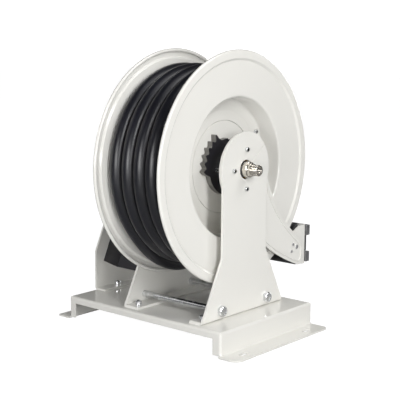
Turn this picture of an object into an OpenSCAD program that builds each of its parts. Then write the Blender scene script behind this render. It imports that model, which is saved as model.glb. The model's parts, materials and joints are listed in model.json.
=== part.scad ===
// Spring-rewind fire hose reel on a folded base, built as an assembly.
// Millimetres. X runs along the axle towards the water inlet, Y runs to the
// back where the hose leaves through the roller guide, Z is up.

/* [Drum] */
// Outer radius of the two hose flanges
disc_r = 280; // [200:1:360]
// Distance from the drum's middle to each flange's flat outer face
disc_x = 100; // [70:1:160]
// Radius of the pressed dish in each flange, at its lip
dish_r = 169; // [120:1:200]
// Distance from the drum's middle to the floor of the dish
floor_x = 52; // [40:1:80]
// Sheet thickness of the flanges
disc_t = 2.5; // [1.5:0.5:4]
// Outer radius of the winding core
core_r = 174.5; // [120:0.5:200]

/* [Hose] */
// Outside diameter of the hose
hose_d = 36; // [25:0.5:45]
// Number of turns in the outer layer
hose_turns = 5; // [3:1:6]
// How far the slack turn at the left flange hangs below the others
hose_slack = 29; // [5:1:30]

/* [Stand] */
// Height of the axle above the floor
axle_z = 408; // [330:1:500]
// Distance from the drum's middle to the outer face of each pedestal
ped_x = 126.5; // [115:0.5:170]
// Thickness of the pedestal plate
ped_t = 6; // [4:0.5:10]
// Radius of the pedestal's round top
ped_r = 89.5; // [60:0.5:110]
// Half width of the pedestal's neck
neck_hw = 84; // [60:1:100]
// Half width of the pedestal's foot
foot_hw = 157; // [110:1:170]
// Height at which the pedestal starts to widen
waist_z = 204; // [120:1:260]
// Width of the left pedestal's foot flange
ped_flange = 48; // [30:1:70]
// Width of the right pedestal's foot flange
ped_flange_r = 40; // [30:1:70]

/* [Base] */
// Distance from the drum's middle to the base's right wall
base_right = 195.5; // [150:0.5:240]
// Distance from the drum's middle to the base's left wall
base_left = 303; // [260:0.5:360]
// Distance from the axle to the base's front
base_front = 173; // [150:1:220]
// Distance from the axle to the base's back
base_back = 188; // [150:1:240]
// Height of the base's top
base_h = 58.5; // [40:0.5:90]
// Sheet thickness of the base
base_t = 4; // [3:0.5:6]
// Width of the base's left foot flange
foot_w = 39; // [30:1:60]
// Width of the base's right foot flange
foot_w_r = 51; // [30:1:60]

/* [Spring motor] */
// Outer radius of the round spring case
case_r = 106; // [80:1:110]
// Length of the spring case
case_l = 118; // [60:1:150]
// Number of turns of the power spring
spring_turns = 11; // [6:1:16]

/* [Roller guide] */
// Radius of the two long rollers
roller_r = 12; // [10:0.5:18]
// Radius of the two upright rollers
side_roller_r = 12; // [9:0.5:16]
// Distance behind the axle of the long rollers
guide_y = 241; // [238:1:260]
// Height of the upper long roller
roller_top_z = 226; // [220:1:240]
// Height of the lower long roller
roller_bot_z = 146; // [140:1:160]

/* [Hidden] */
$fn = 96;
axle_r = 19;
spigot_r = 14;
bore_r = 10.5;
run = 0.05;                       // radial clearance of a running fit
rail_y0 = 272;
rail_y1 = 286;
side_y = 279;
side_x = 98;
x_lo = -base_left - foot_w;
x_hi = base_right + foot_w_r;
// the row's origin: middle of the whole object's box, at its underside
ox = -(x_lo + x_hi) / 2;
oy = -(side_y + side_roller_r - disc_r) / 2;
ivory = [0.92, 0.915, 0.89];
black = [0.06, 0.06, 0.07];
zinc = [0.72, 0.73, 0.74];
steel = [0.55, 0.56, 0.58];
nickel = [0.78, 0.74, 0.66];
brass = [0.72, 0.58, 0.30];
rubber = [0.05, 0.05, 0.06];
grey = [0.45, 0.45, 0.46];
bolt_pcd_r = 47;                  // bearing bolts round the axle
disc_bolt_r = 151;
tie_y = 88;
tie_z = 80.5;
foot_y = 131;
slot_l = 30;
slot_r = 5.5;
slot_y = 124.5;                         // half the distance between a flange's two slots
slot_c = 3.5;
foot_over = 5;                          // the foot flanges reach this far in front of the walls
slant = 0.458;                    // slope of the outer support's shoulders
sup_hw = 83;
sup_neck = 42;
sup_z1 = 162;
sup_z2 = sup_z1 + (sup_hw - sup_neck) / slant;
sad_z = 132;
sad_neck = 38;
sad_z2 = sad_z + (sup_hw - sad_neck) / slant;
hub_r = 111;
arm_t = 5;
arm_x = ped_x - ped_t;            // inner face of the pedestal plate
gx = 22;                          // plane of the water riser

// ---------- helpers ----------

// moves everything into the row's frame
module place() { translate([ox, oy, 0]) children(); }
// a shape drawn in (Y, Z) and extruded along +X from x0 by l
module side(x0, l) { translate([x0, 0, 0]) rotate([90, 0, 90]) linear_extrude(l) children(); }
// a profile drawn as (radius, X) and revolved about the axle
module turned(a = 360) { translate([0, 0, axle_z]) rotate([90, 0, 90]) rotate_extrude(angle = a) children(); }
// a cylinder along X
module cylx(r, x0, x1, y = 0, z = 0) { translate([x0, y, z]) rotate([0, 90, 0]) cylinder(r = r, h = x1 - x0); }
// a cylinder along Y
module cyly(r, y0, y1, x = 0, z = 0) { translate([x, y0, z]) rotate([-90, 0, 0]) cylinder(r = r, h = y1 - y0); }
// a cylinder along Z
module cylz(r, z0, z1, x = 0, y = 0) { translate([x, y, z0]) cylinder(r = r, h = z1 - z0); }
// a hexagon along X, flats af apart
module hexx(af, x0, x1, y = 0, z = 0) { translate([x0, y, z]) rotate([0, 90, 0]) cylinder(d = af / cos(30), h = x1 - x0, $fn = 6); }
// a hexagon along Z
module hexz(af, z0, z1, x = 0, y = 0) { translate([x, y, z0]) cylinder(d = af / cos(30), h = z1 - z0, $fn = 6); }
// a socket-head cap screw's head along X, its seat at x0
module capx(r, h, af, x0, y = 0, z = 0) difference() {
    translate([x0, y, z]) rotate([0, 90, 0]) { cylinder(r = r, h = h - 0.6); translate([0, 0, h - 0.6]) cylinder(r1 = r, r2 = r - 0.6, h = 0.6); }
    hexx(af, x0 + h / 2, x0 + h + 1, y, z);
}
// a chamfered hexagon head along X, its seat at x0, pointing dir
module headx(af, h, x0, dir, y = 0, z = 0) {
    translate([x0, y, z]) rotate([0, dir > 0 ? 90 : -90, 0]) intersection() {
        cylinder(d = af / cos(30), h = h, $fn = 6);
        union() {
            cylinder(r = af / cos(30) / 2 + 0.01, h = h * 0.72);
            translate([0, 0, h * 0.72]) cylinder(r1 = af / cos(30) / 2 + 0.01, r2 = af * 0.455, h = h * 0.28);
        }
    }
}
// puts children at n places on a circle about the axle, the first at angle a
module ring(r, n, a = 0) { for (i = [0 : n - 1]) translate([0, r * cos(a + i * 360 / n), axle_z + r * sin(a + i * 360 / n)]) children(); }
// quarter of a bent sheet: centre of the bend at the origin, quadrant towards +x, -y
module bend(ro, ri) {
    intersection() {
        difference() { circle(r = ro); circle(r = ri); }
        translate([0, -ro]) square([ro, ro]);
    }
}
function bez(a, b, c, n) = [for (i = [0 : n]) let (t = i / n) (1 - t) * (1 - t) * a + 2 * t * (1 - t) * b + t * t * c];
function arcp(cx, cy, r, a0, a1, n) = [for (i = [0 : n]) let (a = a0 + (a1 - a0) * i / n) [cx + r * cos(a), cy + r * sin(a)]];

// tube swept along points, nr sides, made as one closed surface
module sweep(pts, r, nr = 10) {
    n = len(pts);
    dirs = [for (i = [0 : n - 1]) let (d = pts[min(i + 1, n - 1)] - pts[max(i - 1, 0)]) d / norm(d)];
    verts = [for (i = [0 : n - 1]) let (
            d = dirs[i],
            u0 = abs(d[0]) > 0.9 ? [0, 1, 0] : [1, 0, 0],
            u = cross(d, u0) / norm(cross(d, u0)),
            v = cross(d, u))
        for (k = [0 : nr - 1]) pts[i] + r * (cos(360 * k / nr) * u + sin(360 * k / nr) * v)];
    faces = concat(
        [for (i = [0 : n - 2]) for (k = [0 : nr - 1]) let (a = i * nr + k, b = i * nr + (k + 1) % nr)
            each [[a, b, b + nr], [a, b + nr, a + nr]]],
        [[for (k = [nr - 1 : -1 : 0]) k]],
        [[for (k = [0 : nr - 1]) (n - 1) * nr + k]]);
    polyhedron(points = verts, faces = faces, convexity = 6);
}

// ---------- base ----------

module base_outline() {
    translate([x_lo, -base_front - foot_over]) difference() {
        square([x_hi - x_lo, base_front + base_back + foot_over]);
        for (c = [[0, 0, 0, 5], [1, 0, 90, 22], [1, 1, 180, 13], [0, 1, 270, 5]])
            translate([c[0] * (x_hi - x_lo), c[1] * (base_front + base_back + foot_over)]) rotate(c[2])
                difference() { translate([-1, -1]) square(c[3] + 1); translate([c[3], c[3]]) circle(r = c[3]); }
    }
}
module half_hat(w) {
    // half of the hat section in (X, Z), wall face at x = w
    ro = 6;
    translate([0, base_h - base_t]) square([w - ro, base_t]);
    translate([w - ro, base_h - ro]) mirror([0, 1]) bend(ro, ro - base_t);
    translate([w - base_t, ro]) square([base_t, base_h - 2 * ro]);
    translate([w - base_t + ro, ro]) mirror([1, 0]) bend(ro, ro - base_t);
    translate([w - base_t + ro, 0]) square([60, base_t]);
}
// what stands above the foot flanges has bent edges at the front and back too
module base_envelope() {
    r = 6;
    translate([x_lo - 1, -base_front - foot_over - 1, -1]) cube([x_hi - x_lo + 2, base_front + base_back + foot_over + 2, 7]);
    intersection() {
        side(x_lo - 1, x_hi - x_lo + 2) {
            translate([-base_front, -1]) square([base_front + base_back, base_h - r + 1]);
            translate([-base_front + r, base_h - r - 1]) square([base_front + base_back - 2 * r, r + 1]);
            for (y = [-base_front + r, base_back - r]) translate([y, base_h - r]) circle(r = r);
        }
        translate([0, 0, 1]) linear_extrude(base_h + 1) {
            translate([-base_left + r, -base_front]) square([base_left + base_right - 2 * r, base_front + base_back]);
            translate([-base_left, -base_front + r]) square([base_left + base_right, base_front + base_back - 2 * r]);
            for (x = [-base_left + r, base_right - r]) for (y = [-base_front + r, base_back - r]) translate([x, y]) circle(r = r);
        }
    }
}
module base_frame() color(ivory) place() difference() {
    intersection() {
        union() {
            intersection() {
                translate([0, base_back, 0]) rotate([90, 0, 0]) linear_extrude(base_front + base_back + foot_over) {
                    half_hat(base_right);
                    mirror([1, 0]) half_hat(base_left);
                }
                union() {
                    translate([0, 0, -1]) linear_extrude(base_t + 1.01) base_outline();
                    translate([x_lo, -base_front, base_t]) cube([x_hi - x_lo, base_front + base_back, base_h]);
                }
            }
            for (y = [-base_front, base_back - base_t]) {
                translate([-base_left + 2, y, base_h - 17]) cube([base_left + base_right - 4, base_t, 15]);
                translate([-base_left + 2, y, base_t]) cube([17, base_t, base_h - 6]);
                translate([base_right - 24, y, base_t]) cube([22, base_t, base_h - 6]);
            }
        }
        base_envelope();
    }
    // slots for the floor bolts, along Y
    for (x = [x_lo + foot_w / 2, x_hi - foot_w_r / 2]) for (s = [-1, 1])
        translate([x, slot_c + s * slot_y, -1])
            linear_extrude(base_t + 2) {
                for (e = [-1, 1]) translate([0, e * (slot_l / 2 - slot_r)]) circle(r = slot_r);
                square([2 * slot_r, slot_l - 2 * slot_r], center = true);
            }
    foot_holes(5.5);
}
// holes for all six foot bolts
module foot_holes(r) {
    for (p = foot_pts) cylz(r, base_h - 10, base_h + 20, p[0], p[1]);
}
foot_pts = [[-101, -foot_y], [-101, foot_y], [106, -foot_y], [106, foot_y],
    [-base_left + 21, -22], [-base_left + 21, 48]];
// socket-head cap screws, heads on top
module foot_bolts() color(zinc) place() {
    for (p = foot_pts) let (z = base_h + (p[0] < -200 ? 5 : ped_t)) {
        difference() {
            cylz(8, z, z + 9, p[0], p[1]);
            hexz(8, z + 5, z + 11, p[0], p[1]);
        }
        translate([p[0], p[1], z + 9]) difference() {
            cylinder(r1 = 8, r2 = 7.2, h = 0.9);
            translate([0, 0, -1]) cylinder(d = 8 / cos(30), h = 3, $fn = 6);
        }
        cylz(5, base_h - base_t - 9.5, z + 1, p[0], p[1]);
    }
}
module foot_nuts() color(zinc) place() {
    for (p = foot_pts) difference() {
        hexz(16, base_h - base_t - 8, base_h - base_t, p[0], p[1]);
        cylz(5, base_h - base_t - 9, base_h, p[0], p[1]);
    }
}

// ---------- pedestals ----------

module ped_outline() {
    translate([0, axle_z]) circle(r = ped_r);
    polygon([[-neck_hw, axle_z - 20], [-neck_hw, waist_z], [-foot_hw, base_h], [foot_hw, base_h],
        [foot_hw * 0.995, base_h + 2], [neck_hw, waist_z], [neck_hw, axle_z - 20]]);
}
module ell(w, h, t, ro) {
    // section of an angle in (X, Z): outer face at x = 0, flange towards -x
    translate([-t, ro]) square([t, h - ro]);
    translate([-w, 0]) square([w - ro, t]);
    translate([-ro, ro]) bend(ro, ro - t);
}
module pedestal(fl) difference() {
    intersection() {
        translate([ped_x, foot_hw + 5, base_h]) rotate([90, 0, 0]) linear_extrude(2 * foot_hw + 10) ell(fl, 500, ped_t, 7.2);
        side(ped_x - fl - 1, fl + 2) ped_outline();
    }
    cylx(23, ped_x - 20, ped_x + 10, 0, axle_z);
    ring(bolt_pcd_r, 4) cylx(3.3, ped_x - 20, ped_x + 10);
    for (s = [-1, 1]) cylx(8.2, ped_x - 20, ped_x + 10, s * tie_y, tie_z);
}
// the right pedestal also carries the pawl's stud and a fine slit from the bore
module right_pedestal() color(ivory) place() difference() {
    pedestal(ped_flange_r);
    translate([ped_x - 1, 0, axle_z]) rotate([37, 0, 0]) translate([0, 20, -0.7]) cube([5, 80, 1.4]);
    pawl_at() cylx(5, ped_x - 20, ped_x - 2.2);
    foot_holes(5.5);
}
module left_pedestal() color(ivory) place() difference() {
    mirror([1, 0, 0]) pedestal(ped_flange);
    ring(78, 4, 45) cylx(4.2, -ped_x - 10, -ped_x + 20);
    for (p = saddle_r_pts) cylx(3.2, -ped_x - 10, -ped_x + 20, p[0], p[1]);
    foot_holes(5.5);
}
module sup_outline() {
    translate([0, axle_z]) circle(r = sup_neck);
    polygon([[-sup_neck, axle_z], [-sup_neck, sup_z2], [-sup_hw, sup_z1], [-sup_hw, base_h], [sup_hw, base_h],
        [sup_hw, sup_z1], [sup_neck, sup_z2], [sup_neck, axle_z]]);
}
module outer_support() color(ivory) place() difference() {
    intersection() {
        translate([-base_left, -sup_hw - 5, base_h]) rotate([90, 0, 180]) linear_extrude(2 * sup_hw + 10) ell(36, 500, 5, 7);
        side(-base_left - 1, 40) sup_outline();
    }
    cylx(18.5, -base_left - 5, -base_left + 20, 0, axle_z);
    for (p = saddle_l_pts) cylx(3.2, -base_left - 5, -base_left + 20, p[0], p[1]);
    foot_holes(5.5);
}

// ---------- tie rods ----------

module tie_rods() color(zinc) place() for (s = [-1, 1]) cylx(8, -ped_x - 9, ped_x + 9, s * tie_y, tie_z);
module tie_rod_nuts() color(zinc) place() for (s = [-1, 1]) difference() {
    union() {
        headx(24, 10, ped_x, 1, s * tie_y, tie_z);
        headx(24, 10, -ped_x, -1, s * tie_y, tie_z);
    }
    cylx(8, -ped_x - 20, ped_x + 20, s * tie_y, tie_z);
}

// ---------- bearings ----------

module housing() {
    x1 = arm_x - arm_t;
    difference() {
        union() {
            turned() polygon(concat([[22, x1 - 23]], arcp(32, x1 - 21, 2, 270, 360, 4), [[34, x1 - 10]],
                arcp(58, x1 - 8, 2, 270, 360, 4), [[60, x1], [22, x1]]));
        }
        turned() polygon([[20, x1 - 21], [28, x1 - 21], [28, x1 + 1], [20, x1 + 1]]);
        ring(bolt_pcd_r, 4) cylx(3, x1 - 12, x1 + 1);
    }
}
module bearing_housing_right() color(grey) place() housing();
module bearing_housing_left() color(grey) place() mirror([1, 0, 0]) housing();
module bearing() {
    x1 = arm_x - arm_t;
    turned() polygon([[axle_r + run, x1 - 20], [27, x1 - 20], [28, x1 - 19], [28, x1 - 2], [27, x1 - 1], [axle_r + run, x1 - 1]]);
}
module bearing_right() color(brass) place() bearing();
module bearing_left() color(brass) place() mirror([1, 0, 0]) bearing();
module bearing_bolt_set() ring(bolt_pcd_r, 4) {
    capx(5.4, 6, 5, ped_x);
    cylx(3, arm_x - arm_t - 9, ped_x + 1);
}
module bearing_bolts() color(zinc) place() {
    bearing_bolt_set();
    mirror([1, 0, 0]) bearing_bolt_set();
}
module outer_bush() color(brass) place() {
    turned() polygon([[spigot_r + run, -base_left], [18.5, -base_left], [18.5, -base_left + 5], [24, -base_left + 5],
        [24, -base_left + 8], [spigot_r + run, -base_left + 8]]);
}

// ---------- drum ----------

module axle() color(steel) place() difference() {
    turned() polygon([[0, -base_left - 1.5], [spigot_r - 1, -base_left - 1.5], [spigot_r, -base_left - 0.5],
        [spigot_r, -248], [axle_r, -248], [axle_r, ped_x + 0.5],
        [spigot_r, ped_x + 0.5], [spigot_r, ped_x + 2], [12.6, ped_x + 2], [12.6, ped_x + 3.5], [spigot_r, ped_x + 3.5],
        [spigot_r, ped_x + 5.5], [12.2, ped_x + 5.5], [12.2, ped_x + 8.5], [spigot_r, ped_x + 8.5],
        [spigot_r, ped_x + 10], [13.4, ped_x + 10.6], [0, ped_x + 10.6]]);
    cylx(bore_r, 8, ped_x + 20, 0, axle_z);
    cylz(bore_r, axle_z - 30, axle_z, gx, 0);
    // keyways under the hub screws
    for (x = [-76, 76]) for (a = [0, 180]) translate([x, 0, axle_z]) rotate([a, 0, 0]) cylz(4, axle_r - 2, axle_r + 2);
}
module disc_profile() {
    t = disc_t;
    f = floor_x;
    o = concat([[34, f], [112.2, f], [112.2, f + 3.2], [113, f + 3.4], [136, f]], arcp(158.6, f + 6, 6, 270, 345, 5), arcp(dish_r + 5.2, disc_x - 5, 5, 172, 90, 6),
        [[disc_r - 25, disc_x], [disc_r - 20, disc_x + 4]], arcp(disc_r - 4.5, disc_x - 0.5, 4.5, 90, -150, 16));
    i = concat([[disc_r - 8.2, disc_x + 4 - t], [disc_r - 19, disc_x + 4 - t], [disc_r - 24, disc_x - t]],
        arcp(dish_r + 5.2, disc_x - 5, 5 - t, 90, 172, 5), arcp(158.6, f + 6, 6 + t, 345, 270, 5), [[34, f - t]]);
    polygon(concat(o, i));
}
module flange_disc() difference() {
    turned() disc_profile();
    ring(disc_bolt_r, 4, 30) cylx(3.3, floor_x - 10, floor_x + 10);
}
module disc_right() color(ivory) place() flange_disc();
module disc_left() color(ivory) place() mirror([1, 0, 0]) flange_disc();
module riser_root(r) {
    // where the hose leaves the core: a quarter turn in the riser's plane
    translate([gx, 97, axle_z]) rotate([90, 0, 90]) rotate([0, 0, -90]) rotate_extrude(angle = 90) translate([95, 0]) circle(r = r, $fn = 48);
}
module drum_core() color(ivory) place() difference() {
    union() {
        turned() polygon([[core_r - 2.5, -disc_x + 4.5], [core_r, -disc_x + 4.5], [core_r, disc_x - 4.5], [core_r - 2.5, disc_x - 4.5]]);
        for (s = [-1, 1]) turned() polygon([[30, s * (floor_x - disc_t)], [core_r - 2, s * (floor_x - disc_t)], [core_r - 2, s * (floor_x - disc_t - 4)], [30, s * (floor_x - disc_t - 4)]]);
    }
    riser_root(hose_d / 2 + 2.5);
    ring(disc_bolt_r, 4, 30) cylx(3.3, -80, 80);
}
module hub() difference() {
    turned() polygon([[axle_r, floor_x - 6.5], [29.8, floor_x - 6.5], [29.8, floor_x], [hub_r - 0.8, floor_x], [hub_r, floor_x + 0.8],
        [hub_r, floor_x + 2.7], [hub_r - 0.8, floor_x + 3.5], [30, floor_x + 3.5], [30, floor_x + 34], [28.5, floor_x + 35.5], [axle_r, floor_x + 35.5]]);
    for (a = [0, 180]) translate([76, 0, axle_z]) rotate([a, 0, 0]) cylz(4, axle_r - 5, 40);
    ring(42, 4, 4) cylx(3, floor_x - 10, floor_x + 10);
}
module hub_right() color(ivory) place() hub();
module hub_left() color(ivory) place() mirror([1, 0, 0]) hub();
module disc_bolt_set() {
    ring(disc_bolt_r, 4, 30) {
        capx(5.4, 6, 5, floor_x);
        cylx(3, floor_x - 13, floor_x + 1);
        difference() { hexx(10, floor_x - 11.5, floor_x - 6.5); cylx(3, floor_x - 20, floor_x); }
    }
}
module disc_bolts() color(zinc) place() {
    disc_bolt_set();
    mirror([1, 0, 0]) disc_bolt_set();
}
module hub_setscrews() color(black) place()
    for (x = [-76, 76]) for (a = [0, 180]) translate([x, 0, axle_z]) rotate([a, 0, 0]) difference() {
        cylz(4, axle_r - 2, 29);
        hexz(4, 25, 30);
    }

// ---------- ratchet and pawl ----------

rt0 = floor_x + 3.5;
rt1 = rt0 + 14.5;
function tooth(a, r) = [[78.5 * cos(a - 4.4), 78.5 * sin(a - 4.4)], [(r - 1.5) * cos(a - 1.5), (r - 1.5) * sin(a - 1.5)], [r * cos(a), r * sin(a)],
    [(r - 1.5) * cos(a + 1.2), (r - 1.5) * sin(a + 1.2)], [79.5 * cos(a + 5.2), 79.5 * sin(a + 5.2)]];
module ratchet_plate() color(black) place() difference() {
    side(rt0, rt1 - rt0) translate([0, axle_z]) difference() {
        union() {
            circle(r = 66.5);
            polygon(concat([[60 * cos(84), 60 * sin(84)], [70 * cos(90), 70 * sin(90)], [70 * cos(109), 70 * sin(109)]],
                [for (k = [0 : 5]) each tooth(118.6 + 12.9 * k, k == 0 ? 92 : 87)], [[60 * cos(200), 60 * sin(200)]]));
        }
        circle(r = 30.1);
    }
    ring(42, 4, 4) cylx(3.2, rt0 - 1, rt1 + 1);
}
module ratchet_screws() color(zinc) place() ring(42, 4, 4) difference() {
    union() { cylx(5, rt1, rt1 + 5); cylx(3, floor_x + 0.2, rt1 + 1); }
    hexx(5, rt1 + 2, rt1 + 6);
}
// the pawl swings on a stud that stands on the right pedestal's inner face;
// at rest it is lifted clear of the tooth tips
pawl_lift = 18;
pv = [74 * cos(62), 74 * sin(62)];
module pawl_at() translate([0, pv[0], axle_z + pv[1]]) children();
tab = [78 * cos(14.5) - pv[0], 78 * sin(14.5) - pv[1]];
module pawl() color(black) place() pawl_at() rotate([pawl_lift, 0, 0]) {
    difference() {
        side(rt1 + 2, 6) {
            circle(r = 10);
            polygon([[-9.5, 3], [9.5, 3], [tab[0] + 7, tab[1] + 3], [tab[0] + 6, tab[1] - 6], [tab[0] - 5, tab[1] - 6], [tab[0] - 6, tab[1] + 4]]);
        }
        cylx(5 + run, rt1, rt1 + 10);
    }
    // the bent tab that drops between the teeth
    translate([rt0 + 1, 0, 0]) side(0, rt1 - rt0 + 2) polygon([[tab[0] - 4, tab[1] - 5], [tab[0] + 5, tab[1] - 5], [tab[0] + 6, tab[1] + 3], [tab[0] - 5, tab[1] + 3]]);
}
module pawl_pivot() color(zinc) place() pawl_at() {
    cylx(5, rt1 + 0.6, ped_x - 2.2);
    cylx(8, rt1 + 0.6, rt1 + 1.8);
    difference() { cylx(8, rt1 + 8.3, arm_x - arm_t - 30); cylx(4.9, rt1, arm_x); }
}
pawl_coil = [for (i = [0 : 108]) let (a = i * 20) [arm_x - arm_t - 28 + i * 0.26, 7.2 * cos(a), 7.2 * sin(a)]];
module pawl_spring() color(steel) place() pawl_at() sweep(pawl_coil, 0.8, 8);

// ---------- water path ----------

module riser_bend(r) translate([gx, 35, axle_z - 60]) rotate([90, 0, 90]) rotate([0, 0, 180]) rotate_extrude(angle = 90)
    translate([35, 0]) difference() { circle(r = r, $fn = 48); circle(r = bore_r, $fn = 48); }
module water_riser() color(nickel) place() {
    difference() {
        cylz(spigot_r, axle_z - 60, axle_z - 16, gx, 0);
        cylz(bore_r, axle_z - 61, axle_z - 15, gx, 0);
        cylx(axle_r + 0.02, gx - 30, gx + 30, 0, axle_z);
    }
    riser_bend(spigot_r);
    difference() {
        union() { cyly(spigot_r, 35, 60, gx, axle_z - 95); cyly(12.6, 59, 92, gx, axle_z - 95); }
        cyly(bore_r, 34, 93, gx, axle_z - 95);
    }
}
module hose_ferrule() color(zinc) place() difference() {
    cyly(20, 60.5, 90, gx, axle_z - 95);
    cyly(18.2, 62.5, 91, gx, axle_z - 95);
    cyly(12.8, 60, 91, gx, axle_z - 95);
}
hose_r = hose_d / 2;
ring_r1 = core_r + hose_r;             // middle radius of the inner layer
ring_r2 = ring_r1 + hose_d * 0.98;     // middle radius of the outer layer
hose_x0 = -74;
pitch = 37.2;
module hose() color(rubber) place() {
    difference() {
        union() {
            turned() union() {
                translate([core_r + 0.3, -disc_x + disc_t + 0.4]) square([hose_d * 1.25, 2 * (disc_x - disc_t) - 0.8]);
                for (k = [1 : hose_turns - 2]) translate([ring_r2, hose_x0 + 0.4 + k * pitch]) circle(r = hose_r, $fn = 48);
            }
            slack_turn();
            translate([0, 0, axle_z]) rotate([90, 0, 90]) rotate([0, 0, 38]) rotate_extrude(angle = 322)
                translate([ring_r2, hose_x0 + 0.4 + (hose_turns - 1) * pitch]) circle(r = hose_r, $fn = 48);
            riser_root(hose_r);
            cyly(hose_r, 62.7, 97.1, gx, axle_z - 95);
        }
        cyly(12.7, 60, 97, gx, axle_z - 95);
        // dent under the end coupling
        cylz(19.9, axle_z + 0.01, axle_z + 83, end_x, ring_r2);
    }
}
// the turn at the left flange lies on the winding above and hangs slack below
module slack_turn() {
    e = hose_slack * sin(40) / (1 - sin(40));
    c = e + hose_slack;
    translate([hose_x0 + 0.4, 0, axle_z]) rotate([90, 0, 90]) {
        rotate([0, 0, -40]) rotate_extrude(angle = 260) translate([ring_r2, 0]) circle(r = hose_r, $fn = 48);
        translate([0, -c, 0]) rotate([0, 0, -140]) rotate_extrude(angle = 100) translate([ring_r2 - e, 0]) circle(r = hose_r, $fn = 48);
        for (m = [0, 1]) mirror([m, 0, 0]) rotate([0, 0, -40]) translate([ring_r2, 2, 0]) rotate([90, 0, 0]) cylinder(r = hose_r - 0.15, h = c * cos(40) + 4, $fn = 48);
    }
}
end_x = hose_x0 + 0.4 + (hose_turns - 1) * pitch;
module hose_end_coupling() color(nickel) place() translate([end_x, ring_r2, axle_z]) difference() {
    turned_z() polygon([[9, 0], [18.6, 0], [19.5, 0.9], [19.5, 38], [16, 40], [16, 44], [17.5, 45], [17.5, 58], [16.5, 59], [16.5, 80], [15.5, 81], [9, 81]]);
    cylz(13, -1, 30);
}
module turned_z() rotate_extrude() children();

// ---------- inlet swivel ----------

module swivel_body() color(nickel) place() difference() {
    turned() polygon([[0, ped_x + 1], [18, ped_x + 1], [19, ped_x + 2], [19, ped_x + 12.5], [18.2, ped_x + 13.3], [16, ped_x + 13.3],
        [15.2, ped_x + 16], [15.2, ped_x + 20], [13.25, ped_x + 20.5], [13.25, ped_x + 39], [12.4, ped_x + 40], [0, ped_x + 40]]);
    cylx(9.5, ped_x, ped_x + 50, 0, axle_z);
    cylx(spigot_r + run, ped_x, ped_x + 11, 0, axle_z);
    turned() polygon([[spigot_r - 1, ped_x + 1.9], [16.4, ped_x + 1.9], [16.4, ped_x + 3.6], [spigot_r - 1, ped_x + 3.6]]);
}
module swivel_seal() color(rubber) place() turned() polygon([[12.25, ped_x + 5.7], [spigot_r, ped_x + 5.7], [spigot_r, ped_x + 8.3], [12.25, ped_x + 8.3]]);
module swivel_ring() color(steel) place() difference() {
    turned() polygon([[12.65, ped_x + 2.1], [16.1, ped_x + 2.1], [16.1, ped_x + 3.4], [12.65, ped_x + 3.4]]);
    translate([ped_x, -20, axle_z - 2]) cube([6, 20, 4]);
}

// ---------- spring motor ----------

cx1 = -ped_x;
cx0 = -ped_x - case_l;
module spring_case() color(black) place() difference() {
    turned() polygon(concat([[63, cx1], [63, cx1 - 3], [case_r - 3, cx1 - 3], [case_r - 3, cx0], [case_r + 7, cx0], [case_r + 7, cx0 + 3], [case_r, cx0 + 3]],
        arcp(case_r - 4, cx1 - 4, 4, 0, 90, 5)));
    ring(case_r + 3.4, 6, 30) cylx(2.2, cx0 - 5, cx0 + 5);
    ring(78, 4, 45) cylx(4.2, cx1 - 5, cx1 + 5);
}
module spring_case_cover() color(black) place() difference() {
    turned() polygon([[axle_r + 0.6, cx0 - 3], [26, cx0 - 3], [26, cx0 - 1.5], [38, cx0 - 1.5], [42, cx0 - 4], [case_r - 12, cx0 - 4], [case_r - 6, cx0 - 3],
        [case_r + 7, cx0 - 3], [case_r + 7, cx0], [axle_r + 0.6, cx0]]);
    ring(case_r + 3.4, 6, 30) cylx(2.5, cx0 - 5, cx0 + 5);
}
module spring_case_screws() color(zinc) place() ring(case_r + 3.4, 6, 30) {
    headx(7, 2.8, cx0 - 3, -1);
    cylx(2.2, cx0 - 4, cx0 + 3);
}
module spring_case_bolts() color(zinc) place() ring(78, 4, 45) {
    headx(13, 5.3, cx1 - 3, -1);
    cylx(4, cx1 - 4, cx1 + ped_t + arm_t + 9);
    difference() { hexx(13, cx1 + ped_t + arm_t, cx1 + ped_t + arm_t + 6.8); cylx(4, cx1, cx1 + 30); }
}
sp_n = spring_turns * 36;
function spr(t, o) = [(32.5 + 68 * t + o) * cos(360 * spring_turns * t), (32.5 + 68 * t + o) * sin(360 * spring_turns * t)];
module power_spring() color(steel) place() side(cx0 + 4, case_l - 14) translate([0, axle_z])
    polygon(concat([for (i = [0 : sp_n]) spr(i / sp_n, 0)], [for (i = [sp_n : -1 : 0]) spr(i / sp_n, 1.6)]));
module spring_arbor() color(steel) place() difference() {
    turned() polygon([[axle_r, cx0 + 4], [29, cx0 + 4], [30.5, cx0 + 5.5], [30.5, cx1 - 12], [29, cx1 - 10.5], [axle_r, cx1 - 10.5]]);
    translate([cx0, 24, axle_z - 1.5]) cube([case_l, 10, 3]);
}

// ---------- motor saddle ----------

saddle_r_pts = [for (s = [-1, 1]) each [[s * 45, sad_z + 18], [s * 24, sad_z2 - 14]]];
saddle_l_pts = [for (s = [-1, 1]) [s * 30, sad_z + 18]];
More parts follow.
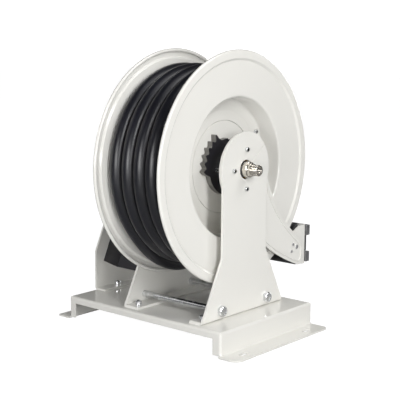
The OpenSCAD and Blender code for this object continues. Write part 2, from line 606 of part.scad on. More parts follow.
// half section of the saddle in (Y, Z), inset by i
module sad_sec(hw, i) {
    zt = axle_z - case_r + 8;
    n = sad_neck - i;
    polygon([[-n, zt], [-n, sad_z2 - i * 0.4], [-hw + i * 1.1, sad_z - (i > 0 ? 1 : 0)], [hw - i * 1.1, sad_z - (i > 0 ? 1 : 0)], [n, sad_z2 - i * 0.4], [n, zt]]);
}
seam_x = -222;
module motor_saddle_inner() color(black) place() difference() {
    side(seam_x + 0.5, -ped_x - seam_x - 0.5) sad_sec(sup_hw + 1, 0);
    side(seam_x - 5, -ped_x - seam_x + 1) sad_sec(sup_hw + 1, 3);
    // seat of the spring case
    cylx(case_r + 0.2, seam_x - 5, -ped_x + 1, 0, axle_z);
    cylx(63, seam_x - 5, -ped_x + 1, 0, axle_z);
    for (p = saddle_r_pts) cylx(3.2, -ped_x - 10, -ped_x + 2, p[0], p[1]);
}
module saddle_taper(i, x0, x1) hull() {
    side(x0, 0.1) taper_sec(57.5, 68, i);
    side(x1 - 0.1, 0.1) taper_sec(sup_hw + 1, sad_neck, i);
}
// tapered end of the saddle: lower at the seam, flush with the outer support
module taper_sec(hw, dz, i) {
    zb = sad_z - (i > 0 ? 1 : 0);
    zt = sad_z + 86;
    polygon([[-(hw - slant * 86) + i * 1.1, zt], [-hw + i * 1.1, zb], [hw - i * 1.1, zb], [(hw - slant * 86) - i * 1.1, zt]]);
}
module motor_saddle_outer() color([0.16, 0.15, 0.19]) place() difference() {
    saddle_taper(0, -base_left + 5, seam_x - 0.5);
    difference() {
        saddle_taper(3, -base_left + 8, seam_x + 1);
        translate([-base_left, -100, sad_z + 83]) cube([200, 200, 20]);
    }
    for (p = saddle_l_pts) cylx(3.2, -base_left, -base_left + 20, p[0], p[1]);
}
module saddle_screws() color(zinc) place() {
    for (p = saddle_r_pts) {
        headx(10, 4, -ped_x + ped_t, 1, p[0], p[1]);
        cylx(3, -ped_x - 9.5, -ped_x + ped_t + 1, p[0], p[1]);
        difference() { hexx(10, -ped_x - 9, -ped_x - 4, p[0], p[1]); cylx(3, -ped_x - 10, -ped_x, p[0], p[1]); }
    }
    for (p = saddle_l_pts) {
        headx(10, 4, -base_left, -1, p[0], p[1]);
        cylx(3, -base_left - 1, -base_left + 13, p[0], p[1]);
        difference() { hexx(10, -base_left + 8, -base_left + 13, p[0], p[1]); cylx(3, -base_left, -base_left + 14, p[0], p[1]); }
    }
}

// ---------- guide arms ----------

arm_up = bez([88, 408], [104, 298], [240, 203], 14);
arm_end = concat(bez([240, 203], [256, 191], [254, 168], 6), bez([254, 160], [251, 138], [232, 137.5], 6));
arm_lo = bez([232, 137.5], [62, 198], [-66, 350], 14);
arm_edge = concat([for (i = [2 : 13]) arm_up[i]], arm_end, [for (i = [1 : 9]) arm_lo[i]]);
module arm_outline() {
    translate([0, axle_z]) circle(r = ped_r - 2);
    polygon(concat([[0, axle_z], [88, 408]], arm_up, [for (i = [1 : 13]) arm_end[i]], [for (i = [1 : 14]) arm_lo[i]]));
}
// raised bead that follows an edge at distance d inside it
module bead_path(p, d, w) {
    n = len(p) - 1;
    function nrm(i) = let (t = p[min(i + 1, n)] - p[max(i - 1, 0)]) [-t[1], t[0]] / norm(t);
    polygon(concat([for (i = [0 : n]) p[i] + d * nrm(i)], [for (i = [n : -1 : 0]) p[i] + (d + w) * nrm(i)]));
}
module arm(left = false) difference() {
    union() {
        side(arm_x - arm_t, arm_t) arm_outline();
        // pressed bead along the edges and round the end, only where the arm is clear of the pedestal
        difference() {
            side(arm_x - 0.5, 2.1) bead_path(arm_edge, -7.5, -4.5);
            side(arm_x - 5, 10) translate([-300, 0]) square([300 + neck_hw + 7, 600]);
        }
    }
    cylx(28, 100, 130, 0, axle_z);
    ring(bolt_pcd_r, 4) cylx(3.3, 100, 130);
    if (left) ring(78, 4, 45) cylx(4.2, 100, 130);
    if (!left) pawl_at() cylx(8.4, 100, 130);
    for (p = arm_screw_pts) cylx(3.2, 100, 130, p[0], p[1]);
}
arm_screw_pts = [[224, 185.6], [207, 194], [201, 176.3]];
module guide_arm_right() color(ivory) place() arm();
module guide_arm_left() color(ivory) place() mirror([1, 0, 0]) arm(true);
module arm_screw_set() for (i = [0 : 2]) let (p = arm_screw_pts[i]) {
    cylx(i == 0 ? 5 : 3.6, arm_x, arm_x + 2.2, p[0], p[1]);
    cylx(3, arm_x - arm_t - 9, arm_x + 1, p[0], p[1]);
    difference() { hexx(8, arm_x - arm_t - 9, arm_x - arm_t - 5, p[0], p[1]); cylx(3, 90, 130, p[0], p[1]); }
}
module arm_screws() color(zinc) place() {
    arm_screw_set();
    mirror([1, 0, 0]) arm_screw_set();
}
module bracket() {
    x1 = arm_x - arm_t;
    difference() {
        union() {
            side(x1 - 5, 5) polygon([[188, 163], [222, 142], [236, 137], [rail_y0 - 7, 134], [rail_y0 - 7, 237], [244, 237], [222, 226.5], [206, 214], [188, 200]]);
            // lugs behind the rails, with room for the upright roller between them
            for (z = [134, 208]) translate([x1 - 24, rail_y0 - 5, z]) cube([17, 5, z < 200 ? 30 : 29]);
            translate([x1 - 7, rail_y0 - 7, 134]) linear_extrude(103) mirror([0, 1]) bend_plan();
        }
        // blind seats for the long rollers' pins
        cylx(5, x1 - 6, x1 - 2, guide_y, roller_top_z);
        cylx(5, x1 - 6, x1 - 2, guide_y, roller_bot_z);
        for (p = arm_screw_pts) cylx(3.2, x1 - 10, x1 + 2, p[0], p[1]);
        for (z = [151, 221]) cyly(2.6, rail_y0 - 10, rail_y0 + 5, x1 - 16, z);
    }
}
module bend_plan() bend(7, 2);
module end_bracket_right() color(ivory) place() bracket();
module end_bracket_left() color(ivory) place() mirror([1, 0, 0]) bracket();

// ---------- rollers ----------

roll_x = arm_x - arm_t - 8;
module long_roller(z) color([0.10, 0.10, 0.11]) place() difference() {
    translate([0, guide_y, z]) rotate([90, 0, 90]) rotate_extrude() polygon([[0, -roll_x], [roller_r - 1.2, -roll_x], [roller_r, -roll_x + 1.2],
        [roller_r, roll_x - 1.2], [roller_r - 1.2, roll_x], [0, roll_x]]);
    cylx(5 + run, -roll_x - 1, roll_x + 1, guide_y, z);
}
module roller_top() long_roller(roller_top_z);
module roller_bottom() long_roller(roller_bot_z);
module side_roller(x) color([0.10, 0.10, 0.11]) place() translate([x, side_y, 0]) difference() {
    rotate_extrude() polygon([[0, 165.2], [side_roller_r - 1, 165.2], [side_roller_r, 166.2], [side_roller_r, 205.8], [side_roller_r - 1, 206.8], [0, 206.8]]);
    cylz(4 + run, 160, 210);
}
module roller_right() side_roller(side_x);
module roller_left() side_roller(-side_x);
module long_roller_pins() color(zinc) place() for (z = [roller_top_z, roller_bot_z]) cylx(5, -arm_x + arm_t + 2, arm_x - arm_t - 2, guide_y, z);
module side_roller_pins() color(zinc) place() for (x = [-side_x, side_x]) cylz(4, 161, 211, x, side_y);
module rail_body() difference() {
    translate([-118, rail_y0, 0]) cube([236, rail_y1 - rail_y0, 26]);
    translate([-115, rail_y0 + 3, 3]) cube([230, rail_y1 - rail_y0 - 6, 30]);
    for (s = [-1, 1]) {
        translate([s * side_x, side_y, -1]) cylinder(r = 4, h = 6);
        cyly(2.6, rail_y0 - 2, rail_y0 + 5, s * (arm_x - arm_t - 16), 13);
    }
}
module rail_top() color(grey) place() translate([0, 0, 208]) rail_body();
module rail_bottom() color(grey) place() translate([0, 0, 164]) mirror([0, 0, 1]) rail_body();
module rail_screws() color(zinc) place() for (s = [-1, 1]) for (z = [151, 221]) {
    cyly(2.5, rail_y0 - 6, rail_y0 + 8, s * (arm_x - arm_t - 16), z);
    cyly(4.5, rail_y0 - 8, rail_y0 - 5, s * (arm_x - arm_t - 16), z);
    cyly(4.2, rail_y0 + 3, rail_y0 + 7, s * (arm_x - arm_t - 16), z);
}

// ---------- assembly ----------

base_frame();
right_pedestal();
left_pedestal();
outer_support();
foot_bolts();
foot_nuts();
tie_rods();
tie_rod_nuts();
bearing_housing_right();
bearing_housing_left();
bearing_right();
bearing_left();
bearing_bolts();
outer_bush();
axle();
drum_core();
disc_right();
disc_left();
hub_right();
hub_left();
disc_bolts();
hub_setscrews();
ratchet_plate();
ratchet_screws();
pawl();
pawl_pivot();
pawl_spring();
water_riser();
hose_ferrule();
hose();
hose_end_coupling();
swivel_body();
swivel_seal();
swivel_ring();
spring_case();
spring_case_cover();
spring_case_screws();
spring_case_bolts();
power_spring();
spring_arbor();
motor_saddle_inner();
motor_saddle_outer();
saddle_screws();
guide_arm_right();
guide_arm_left();
arm_screws();
end_bracket_right();
end_bracket_left();
roller_top();
roller_bottom();
roller_left();
roller_right();
long_roller_pins();
side_roller_pins();
rail_top();
rail_bottom();
rail_screws();
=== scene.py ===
import bpy
import bmesh
import json
import math
from mathutils import Matrix, Vector


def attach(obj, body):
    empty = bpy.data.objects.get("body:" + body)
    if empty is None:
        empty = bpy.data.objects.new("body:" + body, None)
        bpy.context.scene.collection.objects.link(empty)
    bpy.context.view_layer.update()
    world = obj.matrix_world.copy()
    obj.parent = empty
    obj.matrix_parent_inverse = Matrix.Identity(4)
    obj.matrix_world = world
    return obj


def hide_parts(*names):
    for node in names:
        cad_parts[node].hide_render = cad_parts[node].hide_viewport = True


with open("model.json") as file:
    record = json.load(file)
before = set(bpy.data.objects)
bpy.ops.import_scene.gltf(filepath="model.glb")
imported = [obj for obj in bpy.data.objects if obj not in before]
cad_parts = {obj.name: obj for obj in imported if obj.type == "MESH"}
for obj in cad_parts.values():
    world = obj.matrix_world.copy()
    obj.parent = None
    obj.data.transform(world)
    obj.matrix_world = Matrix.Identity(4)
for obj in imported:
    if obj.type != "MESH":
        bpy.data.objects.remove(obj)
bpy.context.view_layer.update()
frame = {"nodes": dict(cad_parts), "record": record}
N = frame["nodes"]
TAU = 2 * math.pi

# drum centre in the row frame
OX, OY, AZ = 0.04775, -0.0055, 0.408
# hose: radius, the two layers' middle radii, distance from turn to turn, first turn
HOSE_R = 0.018
R1, R2 = 0.1925, 0.22778
PITCH = 0.0372
X0 = -0.0736


# ---------------------------------------------------------------- camera

def make_camera():
    cam_data = bpy.data.cameras.new("camera")
    cam = bpy.data.objects.new("camera", cam_data)
    bpy.context.scene.collection.objects.link(cam)
    az, el, roll = math.radians(40.32), math.radians(9.31), math.radians(0.45)
    fw = Vector((-math.sin(az) * math.cos(el), math.cos(az) * math.cos(el), -math.sin(el)))
    rt = Vector((math.cos(az), math.sin(az), 0))
    up = rt.cross(fw)
    c, s = math.cos(roll), math.sin(roll)
    rt2 = rt * c + up * s
    up2 = up * c - rt * s
    m = Matrix.Identity(4)
    for i in range(3):
        m[i][0], m[i][1], m[i][2] = rt2[i], up2[i], -fw[i]
    m.translation = Vector((1.63224, -1.89087, 0.72385))
    cam.matrix_world = m
    cam_data.sensor_width = 36
    cam_data.lens = 91.42
    cam_data.clip_start = 0.05
    cam_data.clip_end = 60
    bpy.context.scene.camera = cam


make_camera()


# ---------------------------------------------------------------- materials

class Mat:
    """Small helper round one node material with a Principled shader."""

    def __init__(self, name):
        self.m = bpy.data.materials.new(name)
        self.m.use_nodes = True
        self.t = self.m.node_tree
        self.t.nodes.clear()
        self.out = self.t.nodes.new("ShaderNodeOutputMaterial")
        self.p = self.t.nodes.new("ShaderNodeBsdfPrincipled")
        self.link(self.p.outputs[0], self.out.inputs[0])
        self._pos = None

    def link(self, a, b):
        self.t.links.new(a, b)

    def node(self, kind, **kw):
        n = self.t.nodes.new(kind)
        for k, v in kw.items():
            setattr(n, k, v)
        return n

    def set(self, **kw):
        for k, v in kw.items():
            self.p.inputs[k.replace("_", " ")].default_value = v
        return self

    def pos(self):
        if self._pos is None:
            self._pos = self.node("ShaderNodeTexCoord").outputs["Object"]
        return self._pos

    def scaled(self, s):
        mp = self.node("ShaderNodeMapping")
        mp.inputs["Scale"].default_value = s
        self.link(self.pos(), mp.inputs["Vector"])
        return mp.outputs[0]

    def noise(self, scale, detail=3.0, rough=0.5, vec=None, dist=0.0):
        n = self.node("ShaderNodeTexNoise")
        n.inputs["Scale"].default_value = scale
        n.inputs["Detail"].default_value = detail
        n.inputs["Roughness"].default_value = rough
        n.inputs["Distortion"].default_value = dist
        self.link(vec if vec is not None else self.pos(), n.inputs["Vector"])
        return n.outputs["Fac"]

    def ramp(self, fac, stops, mode="LINEAR"):
        r = self.node("ShaderNodeValToRGB")
        r.color_ramp.interpolation = mode
        el = r.color_ramp.elements
        while len(el) < len(stops):
            el.new(0.5)
        for e, (p, c) in zip(el, stops):
            e.position = p
            e.color = (c, c, c, 1) if isinstance(c, (int, float)) else (*c, 1)
        self.link(fac, r.inputs[0])
        return r.outputs[0]

    def mixc(self, fac, a, b, mode="MIX"):
        n = self.node("ShaderNodeMix", data_type="RGBA", blend_type=mode)
        for sock, v in ((n.inputs[0], fac), (n.inputs[6], a), (n.inputs[7], b)):
            if isinstance(v, (int, float)):
                sock.default_value = v
            elif isinstance(v, tuple):
                sock.default_value = (*v, 1)
            else:
                self.link(v, sock)
        return n.outputs[2]

    def math(self, op, a, b=None, clamp=False):
        n = self.node("ShaderNodeMath", operation=op, use_clamp=clamp)
        for i, v in enumerate((a, b)):
            if v is None:
                continue
            if isinstance(v, (int, float)):
                n.inputs[i].default_value = v
            else:
                self.link(v, n.inputs[i])
        return n.outputs[0]

    def rng(self, fac, lo, hi, flo=0.0, fhi=1.0):
        n = self.node("ShaderNodeMapRange")
        n.inputs["From Min"].default_value = flo
        n.inputs["From Max"].default_value = fhi
        n.inputs["To Min"].default_value = lo
        n.inputs["To Max"].default_value = hi
        self.link(fac, n.inputs["Value"])
        return n.outputs[0]

    def bump(self, height, dist, strength=1.0, prev=None):
        n = self.node("ShaderNodeBump")
        n.inputs["Strength"].default_value = strength
        n.inputs["Distance"].default_value = dist
        self.link(height, n.inputs["Height"])
        if prev is not None:
            self.link(prev, n.inputs["Normal"])
        return n.outputs[0]

    def edges(self, radius, samples=4):
        b = self.node("ShaderNodeBevel", samples=samples)
        b.inputs["Radius"].default_value = radius
        return b.outputs[0]

    def finish(self, color=None, rough=None, normal=None):
        if color is not None:
            self.link(color, self.p.inputs["Base Color"])
        if rough is not None:
            self.link(rough, self.p.inputs["Roughness"])
        if normal is not None:
            self.link(normal, self.p.inputs["Normal"])
        return self.m


def powder_coat(name, tone=(0.80, 0.79, 0.75), edge=0.0012, gloss=0.17):
    """Glossy warm white powder coat: soft orange peel, a faint change of film thickness, a little settled dust."""
    k = Mat(name)
    big = k.noise(3.5, 3, 0.55)
    mid = k.noise(26, 4, 0.6)
    fine = k.noise(900, 2, 0.5)
    col = k.ramp(big, [(0.30, tuple(v * 0.988 for v in tone)), (0.72, tuple(min(1, v * 1.006) for v in tone))])
    # faint handling marks, a touch warmer and darker
    marks = k.ramp(mid, [(0.62, 0.0), (0.85, 0.05)])
    col = k.mixc(marks, col, (tone[0] * 0.86, tone[1] * 0.84, tone[2] * 0.79))
    rough = k.math("ADD", k.rng(mid, gloss - 0.02, gloss + 0.05, 0.3, 0.75), k.rng(fine, -0.012, 0.012, 0.3, 0.7))
    nrm = k.edges(edge, 6)
    nrm = k.bump(k.noise(520, 2, 0.45), 0.00003, 0.45, nrm)
    nrm = k.bump(k.noise(130, 1, 0.4), 0.00006, 0.25, nrm)
    k.set(IOR=1.5, Specular_IOR_Level=0.55, Coat_Weight=0.20, Coat_Roughness=0.06)
    return k.finish(col, rough, nrm)


def black_paint(name, tone=(0.012, 0.0115, 0.0145), rough0=0.34, dusty=0.18, steel_sides=False):
    """Satin black paint. With steel_sides the faces that don't look along the axle are worn to bare steel."""
    k = Mat(name)
    mid = k.noise(45, 4, 0.6)
    dust = k.ramp(k.noise(14, 5, 0.65), [(0.50, 0.0), (0.90, dusty)])
    col = k.ramp(mid, [(0.3, tone), (0.75, tuple(v * 1.4 for v in tone))])
    col = k.mixc(dust, col, (0.050, 0.049, 0.048))
    rough = k.math("ADD", k.rng(mid, rough0 - 0.06, rough0 + 0.10, 0.3, 0.75), k.rng(dust, 0, 0.25))
    nrm = k.edges(0.0006, 4)
    nrm = k.bump(k.noise(700, 2, 0.5), 0.00006, 0.5, nrm)
    if steel_sides:
        sep = k.node("ShaderNodeSeparateXYZ")
        k.link(k.node("ShaderNodeTexCoord").outputs["Normal"], sep.inputs[0])
        side = k.math("LESS_THAN", k.math("ABSOLUTE", sep.outputs[0]), 0.5)
        cut = k.noise(1.0, 4, 0.65, k.scaled((1500, 40, 40)))
        steel = k.ramp(cut, [(0.30, (0.14, 0.135, 0.125)), (0.72, (0.34, 0.335, 0.32))])
        col = k.mixc(side, col, steel)
        rough = k.math("ADD", rough, k.math("MULTIPLY", side, 0.10))
        k.link(k.math("MULTIPLY", side, 0.75), k.p.inputs["Metallic"])
        nrm = k.bump(k.math("MULTIPLY", cut, side), 0.0001, 0.5, nrm)
    k.set(IOR=1.5)
    return k.finish(col, rough, nrm)


def threaded(name, tone, r0, along, centre, span, pitch, depth=0.0008):
    """Plated metal with a screw thread cut on it between two places along one axis, with painted shade in the
    thread's valleys.
    """
    k = Mat(name)
    sep = k.node("ShaderNodeSeparateXYZ")
    k.link(k.pos(), sep.inputs[0])
    s = sep.outputs[along]
    others = [i for i in range(3) if i != along]
    ang = k.math("ARCTAN2", k.math("SUBTRACT", sep.outputs[others[0]], centre[0]), k.math("SUBTRACT", sep.outputs[others[1]], centre[1]))
    ph = k.math("ADD", k.math("MULTIPLY", s, 1.0 / pitch), k.math("MULTIPLY", ang, 1.0 / TAU))
    tri = k.math("MULTIPLY", k.math("ABSOLUTE", k.math("SUBTRACT", k.math("FRACT", ph), 0.5)), 2.0)
    on = k.math("MULTIPLY", k.math("GREATER_THAN", s, span[0]), k.math("LESS_THAN", s, span[1]))
    valley_shade = k.math("MULTIPLY", k.math("SUBTRACT", 1.0, tri), on)
    cloud = k.noise(90, 4, 0.6)
    st = k.noise(1.0, 3, 0.6, k.scaled(tuple(1100 if i == along else 25 for i in range(3))))
    col = k.ramp(cloud, [(0.28, tuple(v * 0.80 for v in tone)), (0.55, tone), (0.8, tuple(min(1, v * 1.05) for v in tone))])
    # painted shade: the colour darkens towards the bottom of each thread valley
    col = k.mixc(k.math("MULTIPLY", k.math("POWER", valley_shade, 2.0), 0.65), col, tuple(v * 0.28 for v in tone))
    rough = k.math("ADD", k.rng(cloud, r0 - 0.04, r0 + 0.10, 0.3, 0.75), k.rng(st, -0.05, 0.07, 0.3, 0.7))
    nrm = k.edges(0.0005, 4)
    nrm = k.bump(k.math("MULTIPLY", tri, on), depth, 1.0, nrm)
    nrm = k.bump(st, 0.00004, 0.6, nrm)
    k.set(Metallic=1.0)
    return k.finish(col, rough, nrm)


def plated(name, tone, r0, streak=(60, 60, 60), edge=0.0005, dark=0.72, bump=0.00004, painted_hollow_shade=0.0):
    """Plated or turned metal with tarnish and fine streaks, and with painted shade in its hollows when
    painted_hollow_shade is set.
    """
    k = Mat(name)
    cloud = k.noise(70, 4, 0.6)
    st = k.noise(1.0, 3, 0.6, k.scaled(streak))
    col = k.ramp(cloud, [(0.28, tuple(v * dark for v in tone)), (0.55, tone), (0.8, tuple(min(1, v * 1.06) for v in tone))])
    if painted_hollow_shade:
        # painted shade: an ambient occlusion mask darkens the sockets and hollows
        ao = k.node("ShaderNodeAmbientOcclusion", samples=6, only_local=True)
        ao.inputs["Distance"].default_value = painted_hollow_shade
        hollow_shade_mask = k.ramp(ao.outputs["AO"], [(0.25, 0.96), (0.80, 0.0)])
        col = k.mixc(hollow_shade_mask, col, (0.012, 0.011, 0.010))
    rough = k.math("ADD", k.rng(cloud, r0 - 0.05, r0 + 0.12, 0.3, 0.75), k.rng(st, -0.06, 0.08, 0.3, 0.7))
    nrm = k.edges(edge, 4)
    nrm = k.bump(st, bump, 0.6, nrm)
    nrm = k.bump(k.noise(1500, 2, 0.5), 0.00002, 0.5, nrm)
    k.set(Metallic=1.0)
    return k.finish(col, rough, nrm)


def hose_rubber(name):
    """Black hose cover: satin, with faint wrap marks across it, extrusion lines along it and talc dust, and
    painted shade in the furrows between the turns.
    """
    k = Mat(name)
    uv = k.node("ShaderNodeUVMap", uv_map="along").outputs[0]
    sep = k.node("ShaderNodeSeparateXYZ")
    k.link(uv, sep.inputs[0])
    u, v = sep.outputs[0], sep.outputs[1]          # u: 0..1 round the hose, v: metres along it
    # spiral mark left by the wrapping tape, one band every 45 mm
    ph = k.math("ADD", k.math("MULTIPLY", v, TAU / 0.045), k.math("MULTIPLY", u, TAU))
    wave = k.math("SINE", ph)
    band = k.math("POWER", k.math("ADD", k.math("MULTIPLY", wave, 0.5), 0.5), 14.0)
    # long fine lines along the hose
    comb = k.node("ShaderNodeCombineXYZ")
    k.link(k.math("MULTIPLY", u, 46.0), comb.inputs[0])
    k.link(k.math("MULTIPLY", v, 9.0), comb.inputs[1])
    lines = k.noise(1.6, 4, 0.6, comb.outputs[0])
    cloud = k.noise(16, 4, 0.6)
    dust = k.ramp(k.noise(120, 5, 0.7), [(0.56, 0.0), (0.80, 0.22)])
    col = k.ramp(cloud, [(0.3, (0.0045, 0.0047, 0.0085)), (0.75, (0.0085, 0.0090, 0.0145))])
    col = k.mixc(dust, col, (0.050, 0.050, 0.056))
    # painted shade: an ambient occlusion mask darkens the furrows between the turns and makes them rougher
    ao = k.node("ShaderNodeAmbientOcclusion", samples=6, only_local=True)
    ao.inputs["Distance"].default_value = 0.016
    furrow_shade = k.ramp(ao.outputs["AO"], [(0.30, 1.0), (0.80, 0.0)])
    col = k.mixc(furrow_shade, col, (0.0025, 0.0025, 0.003))
    rough = k.math("ADD", k.rng(lines, 0.29, 0.37, 0.3, 0.7), k.math("ADD", k.rng(dust, 0.0, 0.30), k.math("MULTIPLY", furrow_shade, 0.35)))
    nrm = k.bump(lines, 0.00010, 0.5)
    nrm = k.bump(band, 0.00008, 0.5, nrm)
    nrm = k.bump(k.noise(1100, 2, 0.5), 0.00005, 0.5, nrm)
    k.set(IOR=1.56)
    return k.finish(col, rough, nrm)


def plastic_black(name):
    k = Mat(name)
    mid = k.noise(60, 4, 0.6)
    ring = k.noise(1.0, 2, 0.5, k.scaled((900, 60, 60)))
    scuff = k.ramp(k.noise(90, 5, 0.7, None, 0.4), [(0.58, 0.0), (0.78, 0.5)])
    col = k.ramp(mid, [(0.3, (0.017, 0.017, 0.019)), (0.75, (0.030, 0.030, 0.033))])
    col = k.mixc(scuff, col, (0.075, 0.075, 0.078))
    rough = k.rng(mid, 0.40, 0.58, 0.3, 0.75)
    nrm = k.edges(0.0006, 4)
    nrm = k.bump(ring, 0.00006, 0.5, nrm)
    nrm = k.bump(k.noise(1300, 2, 0.5), 0.00005, 0.5, nrm)
    k.set(IOR=1.5)
    return k.finish(col, rough, nrm)


def seal_rubber(name):
    k = Mat(name)
    mid = k.noise(200, 4, 0.6)
    col = k.ramp(mid, [(0.3, (0.015, 0.015, 0.016)), (0.75, (0.035, 0.035, 0.037))])
    return k.finish(col, k.rng(mid, 0.45, 0.62, 0.3, 0.7), k.bump(k.noise(2500, 2, 0.5), 0.00003, 0.5))


MATS = {
    "ivory_paint": powder_coat("ivory powder coat"),
    "black_paint": black_paint("satin black paint"),
    "charcoal_paint": black_paint("satin charcoal paint", (0.0065, 0.006, 0.009), 0.36, 0.08),
    # the zinc plating gets painted shade in its sockets and hollows (ambient occlusion over 6 mm)
    "zinc_plate": plated("bright zinc plating", (0.74, 0.75, 0.765), 0.17, (40, 40, 400), painted_hollow_shade=0.006),
    "black_oxide": plated("black oxide", (0.055, 0.055, 0.062), 0.38, (80, 80, 80)),
    "turned_steel": plated("turned steel", (0.56, 0.565, 0.58), 0.26, (1400, 30, 30)),
    "spring_steel": plated("oiled spring steel", (0.30, 0.31, 0.335), 0.30, (900, 20, 20)),
    "grey_steel": plated("dull grey steel", (0.36, 0.36, 0.37), 0.42, (30, 300, 300)),
    "bronze": plated("sintered bronze", (0.66, 0.47, 0.23), 0.38, (120, 120, 120)),
    "nickel_plate": plated("satin nickel plating", (0.74, 0.70, 0.635), 0.20, (900, 20, 20)),
    "black_rubber": hose_rubber("hose rubber"),
    "seal_rubber": seal_rubber("seal rubber"),
    "roller_plastic": plastic_black("roller nylon"),
}

slot_of = {s["node"]: s["material_slot"] for s in frame["record"]["subparts"]}


def dress(obj, mat):
    if len(obj.data.materials) == 0:
        obj.data.materials.append(mat)
    for i in range(len(obj.data.materials)):
        obj.data.materials[i] = mat


END_X, END_Y = OX + X0 + 4 * PITCH, OY + R2
special = {
    "ratchet_plate": black_paint("ratchet black, worn teeth", steel_sides=True),
    "swivel_body": threaded("inlet nickel", (0.75, 0.71, 0.645), 0.17, 0, (OY, AZ), (0.19525, 0.21275), 0.001814),
    "hose_end_coupling": threaded("coupling nickel", (0.75, 0.71, 0.645), 0.20, 2, (END_X, END_Y), (0.468, 0.4875), 0.002309),
}
for name, obj in N.items():
    dress(obj, special.get(name, MATS[slot_of[name]]))


# ---------------------------------------------------------------- mesh tools

def new_piece(name, bm, mat, body, smooth=True, weld=0.0):
    if weld:
        bmesh.ops.remove_doubles(bm, verts=bm.verts, dist=weld)
    bmesh.ops.recalc_face_normals(bm, faces=bm.faces)
    me = bpy.data.meshes.new(name)
    bm.to_mesh(me)
    bm.free()
    me.materials.append(mat)
    for p in me.polygons:
        p.use_smooth = smooth
    ob = bpy.data.objects.new(name, me)
    bpy.context.scene.collection.objects.link(ob)
    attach(ob, body)
    return ob


def smoothstep(t):
    t = max(0.0, min(1.0, t))
    return t * t * (3 - 2 * t)


# ---------------------------------------------------------------- hose

def ring_x(phi):
    """Sideways place of the hose after phi degrees of the outer layer: flat turns, with a step in the arc that faces back and up."""
    k = math.floor(phi / 360)
    th = phi - 360 * k
    return X0 + PITCH * max(0.0, k - 2 + smoothstep((th - 24) / 54))


def slack(phi):
    """How far the first turn of the outer layer hangs off the drum: nothing above, most at the bottom."""
    th = phi - 360
    if th < 222 or th > 330:
        return 0.0
    t = (th - 224) / 46 if th < 272 else (330 - th) / 58
    t = max(0.0, min(1.0, t))
    return 0.030 * (0.72 * t + 0.28 * smoothstep(t))


def hose_path():
    """Points (x, radius, angle) of the whole winding, the inner layer first."""
    pts = []
    # inner layer: from the right flange to the left one
    turns = 4.32
    n = int(turns * 96)
    end = 360 + 24 - 70          # where the climb to the outer layer starts
    for i in range(n + 1):
        t = i / n
        x = 0.0791 + (X0 - 0.0791) * t
        pts.append((x, R1, end - turns * 360 * (1 - t)))
    # climb at the left flange
    for i in range(1, 17):
        t = i / 16
        pts.append((X0, R1 + (R2 - R1) * smoothstep(t), end + 70 * t))
    # outer layer
    a = end + 70
    stop = 5 * 360 + 360
    steps = int((stop - a) / 3)
    for i in range(1, steps + 1):
        phi = a + (stop - a) * i / steps
        w = 0.00035 * math.sin(phi * 0.021) + 0.00025 * math.sin(phi * 0.057 + 1.0)
        fade = min(1.0, (stop - phi) / 40)
        sag = (slack(phi - 6) + slack(phi - 3) + slack(phi) + slack(phi + 3) + slack(phi + 6)) / 5
        pts.append((ring_x(phi) + w * fade, R2 + sag + 0.0003 * math.sin(phi * 0.033 + 2) * fade, phi))
    return pts


def frames_tube(bm, pts, rad, sides, uvl, v0=0.0, cap=True):
    """Tube along 3D points with a frame that doesn't twist about the drum."""
    rings = []
    n = len(pts)
    length = v0
    for i in range(n):
        p = pts[i]
        d = (pts[min(i + 1, n - 1)] - pts[max(i - 1, 0)]).normalized()
        side = Vector((1, 0, 0))
        if abs(d.x) > 0.9:
            side = Vector((0, 1, 0))
        b = d.cross(side).normalized()
        a = b.cross(d).normalized()
        if i:
            length += (p - pts[i - 1]).length
        r = rad(i) if callable(rad) else rad
        rings.append(([bm.verts.new(p + (a * math.cos(TAU * k / sides) + b * math.sin(TAU * k / sides)) * r) for k in range(sides)], length))
    for (ra, la), (rb, lb) in zip(rings, rings[1:]):
        for k in range(sides):
            f = bm.faces.new((ra[k], ra[(k + 1) % sides], rb[(k + 1) % sides], rb[k]))
            us = (k / sides, (k + 1) / sides, (k + 1) / sides, k / sides)
            for lp, uu, vv in zip(f.loops, us, (la, la, lb, lb)):
                lp[uvl].uv = (uu, vv)
    if cap:
        bm.faces.new(list(reversed(rings[0][0])))
        bm.faces.new(rings[-1][0])
    return rings


def make_hose():
    bm = bmesh.new()
    uvl = bm.loops.layers.uv.new("along")
    pts = []
    for x, r, a in hose_path():
        t = math.radians(a)
        pts.append(Vector((OX + x, OY + r * math.cos(t), AZ + r * math.sin(t))))
    frames_tube(bm, pts, HOSE_R, 32, uvl)
    # the hose's beginning, from the riser's spigot to the core
    gx, zc = 0.022, AZ - 0.095
    tail = [Vector((OX + gx, OY + y, zc)) for y in (0.0627, 0.072, 0.084, 0.097)]
    for i in range(1, 19):
        a = math.radians(5 * i)
        tail.append(Vector((OX + gx, OY + 0.097 + 0.095 * math.sin(a), zc + 0.095 * (1 - math.cos(a)))))
    frames_tube(bm, tail, HOSE_R, 32, uvl)
    ob = new_piece("hose_wound", bm, MATS["black_rubber"], "drum")
    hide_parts("hose")
    return ob


make_hose()


# ---------------------------------------------------------------- floor, light, sky

def camera_mix(tree, seen, other):
    """Shader that the camera sees as one thing and the light as another."""
    lp = tree.nodes.new("ShaderNodeLightPath")
    mix = tree.nodes.new("ShaderNodeMixShader")
    tree.links.new(lp.outputs["Is Camera Ray"], mix.inputs[0])
    tree.links.new(other, mix.inputs[1])
    tree.links.new(seen, mix.inputs[2])
    return mix.outputs[0]


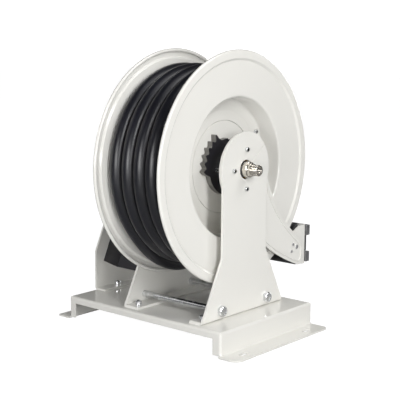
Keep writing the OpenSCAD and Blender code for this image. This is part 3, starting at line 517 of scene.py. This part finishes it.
def make_stage():
    bm = bmesh.new()
    bmesh.ops.create_grid(bm, x_segments=8, y_segments=8, size=14)
    me = bpy.data.meshes.new("floor")
    bm.to_mesh(me)
    bm.free()
    k = Mat("floor paper")
    col = k.ramp(k.noise(1.2, 2, 0.5), [(0.3, (0.41, 0.41, 0.41)), (0.7, (0.43, 0.43, 0.43))])
    k.set(Roughness=0.9)
    k.finish(col)
    em = k.node("ShaderNodeEmission")
    em.inputs["Strength"].default_value = 1.25
    half = k.node("ShaderNodeMixShader")
    half.inputs[0].default_value = 0.80
    k.link(k.p.outputs[0], half.inputs[1])
    k.link(em.outputs[0], half.inputs[2])
    k.link(camera_mix(k.t, half.outputs[0], k.p.outputs[0]), k.out.inputs[0])
    me.materials.append(k.m)
    floor = bpy.data.objects.new("floor", me)
    bpy.context.scene.collection.objects.link(floor)

    def area(name, az, el, dist, size, power, sy=None, aim=(0.05, 0, 0.35)):
        d = bpy.data.lights.new(name, "AREA")
        d.energy = power
        d.shape = "RECTANGLE"
        d.size = size
        d.size_y = sy or size
        o = bpy.data.objects.new(name, d)
        a, e = math.radians(az), math.radians(el)
        t = Vector(aim)
        o.location = t + dist * Vector((math.sin(a) * math.cos(e), -math.cos(a) * math.cos(e), math.sin(e)))
        o.rotation_euler = (t - o.location).to_track_quat("-Z", "Y").to_euler()
        bpy.context.scene.collection.objects.link(o)
        return o

    area("key right", 66, 20, 3.2, 0.55, 57, 2.0)
    area("low right", 50, 3, 3.2, 0.6, 8, 0.5)
    area("front", 9, 9, 3.0, 0.9, 27, 1.1)
    area("low front", 24, 3, 3.0, 0.7, 13, 0.4)
    area("strip left", -48, 20, 2.6, 0.5, 3, 1.8)
    area("back right", 118, 46, 2.8, 1.2, 25)
    area("back left", 262, 7, 3.0, 1.1, 26)
    area("back", 188, 13, 3.0, 1.2, 32)
    area("top", 92, 74, 2.6, 1.2, 5)

    w = bpy.data.worlds.new("studio")
    bpy.context.scene.world = w
    w.use_nodes = True
    t = w.node_tree
    t.nodes.clear()
    out = t.nodes.new("ShaderNodeOutputWorld")
    seen = t.nodes.new("ShaderNodeBackground")
    seen.inputs[0].default_value = (1, 1, 1, 1)
    seen.inputs[1].default_value = 1.3
    other = t.nodes.new("ShaderNodeBackground")
    other.inputs[0].default_value = (1, 1, 1, 1)
    other.inputs[1].default_value = 0.045
    t.links.new(camera_mix(t, seen.outputs[0], other.outputs[0]), out.inputs[0])


make_stage()

sc = bpy.context.scene
sc.view_settings.view_transform = "Standard"
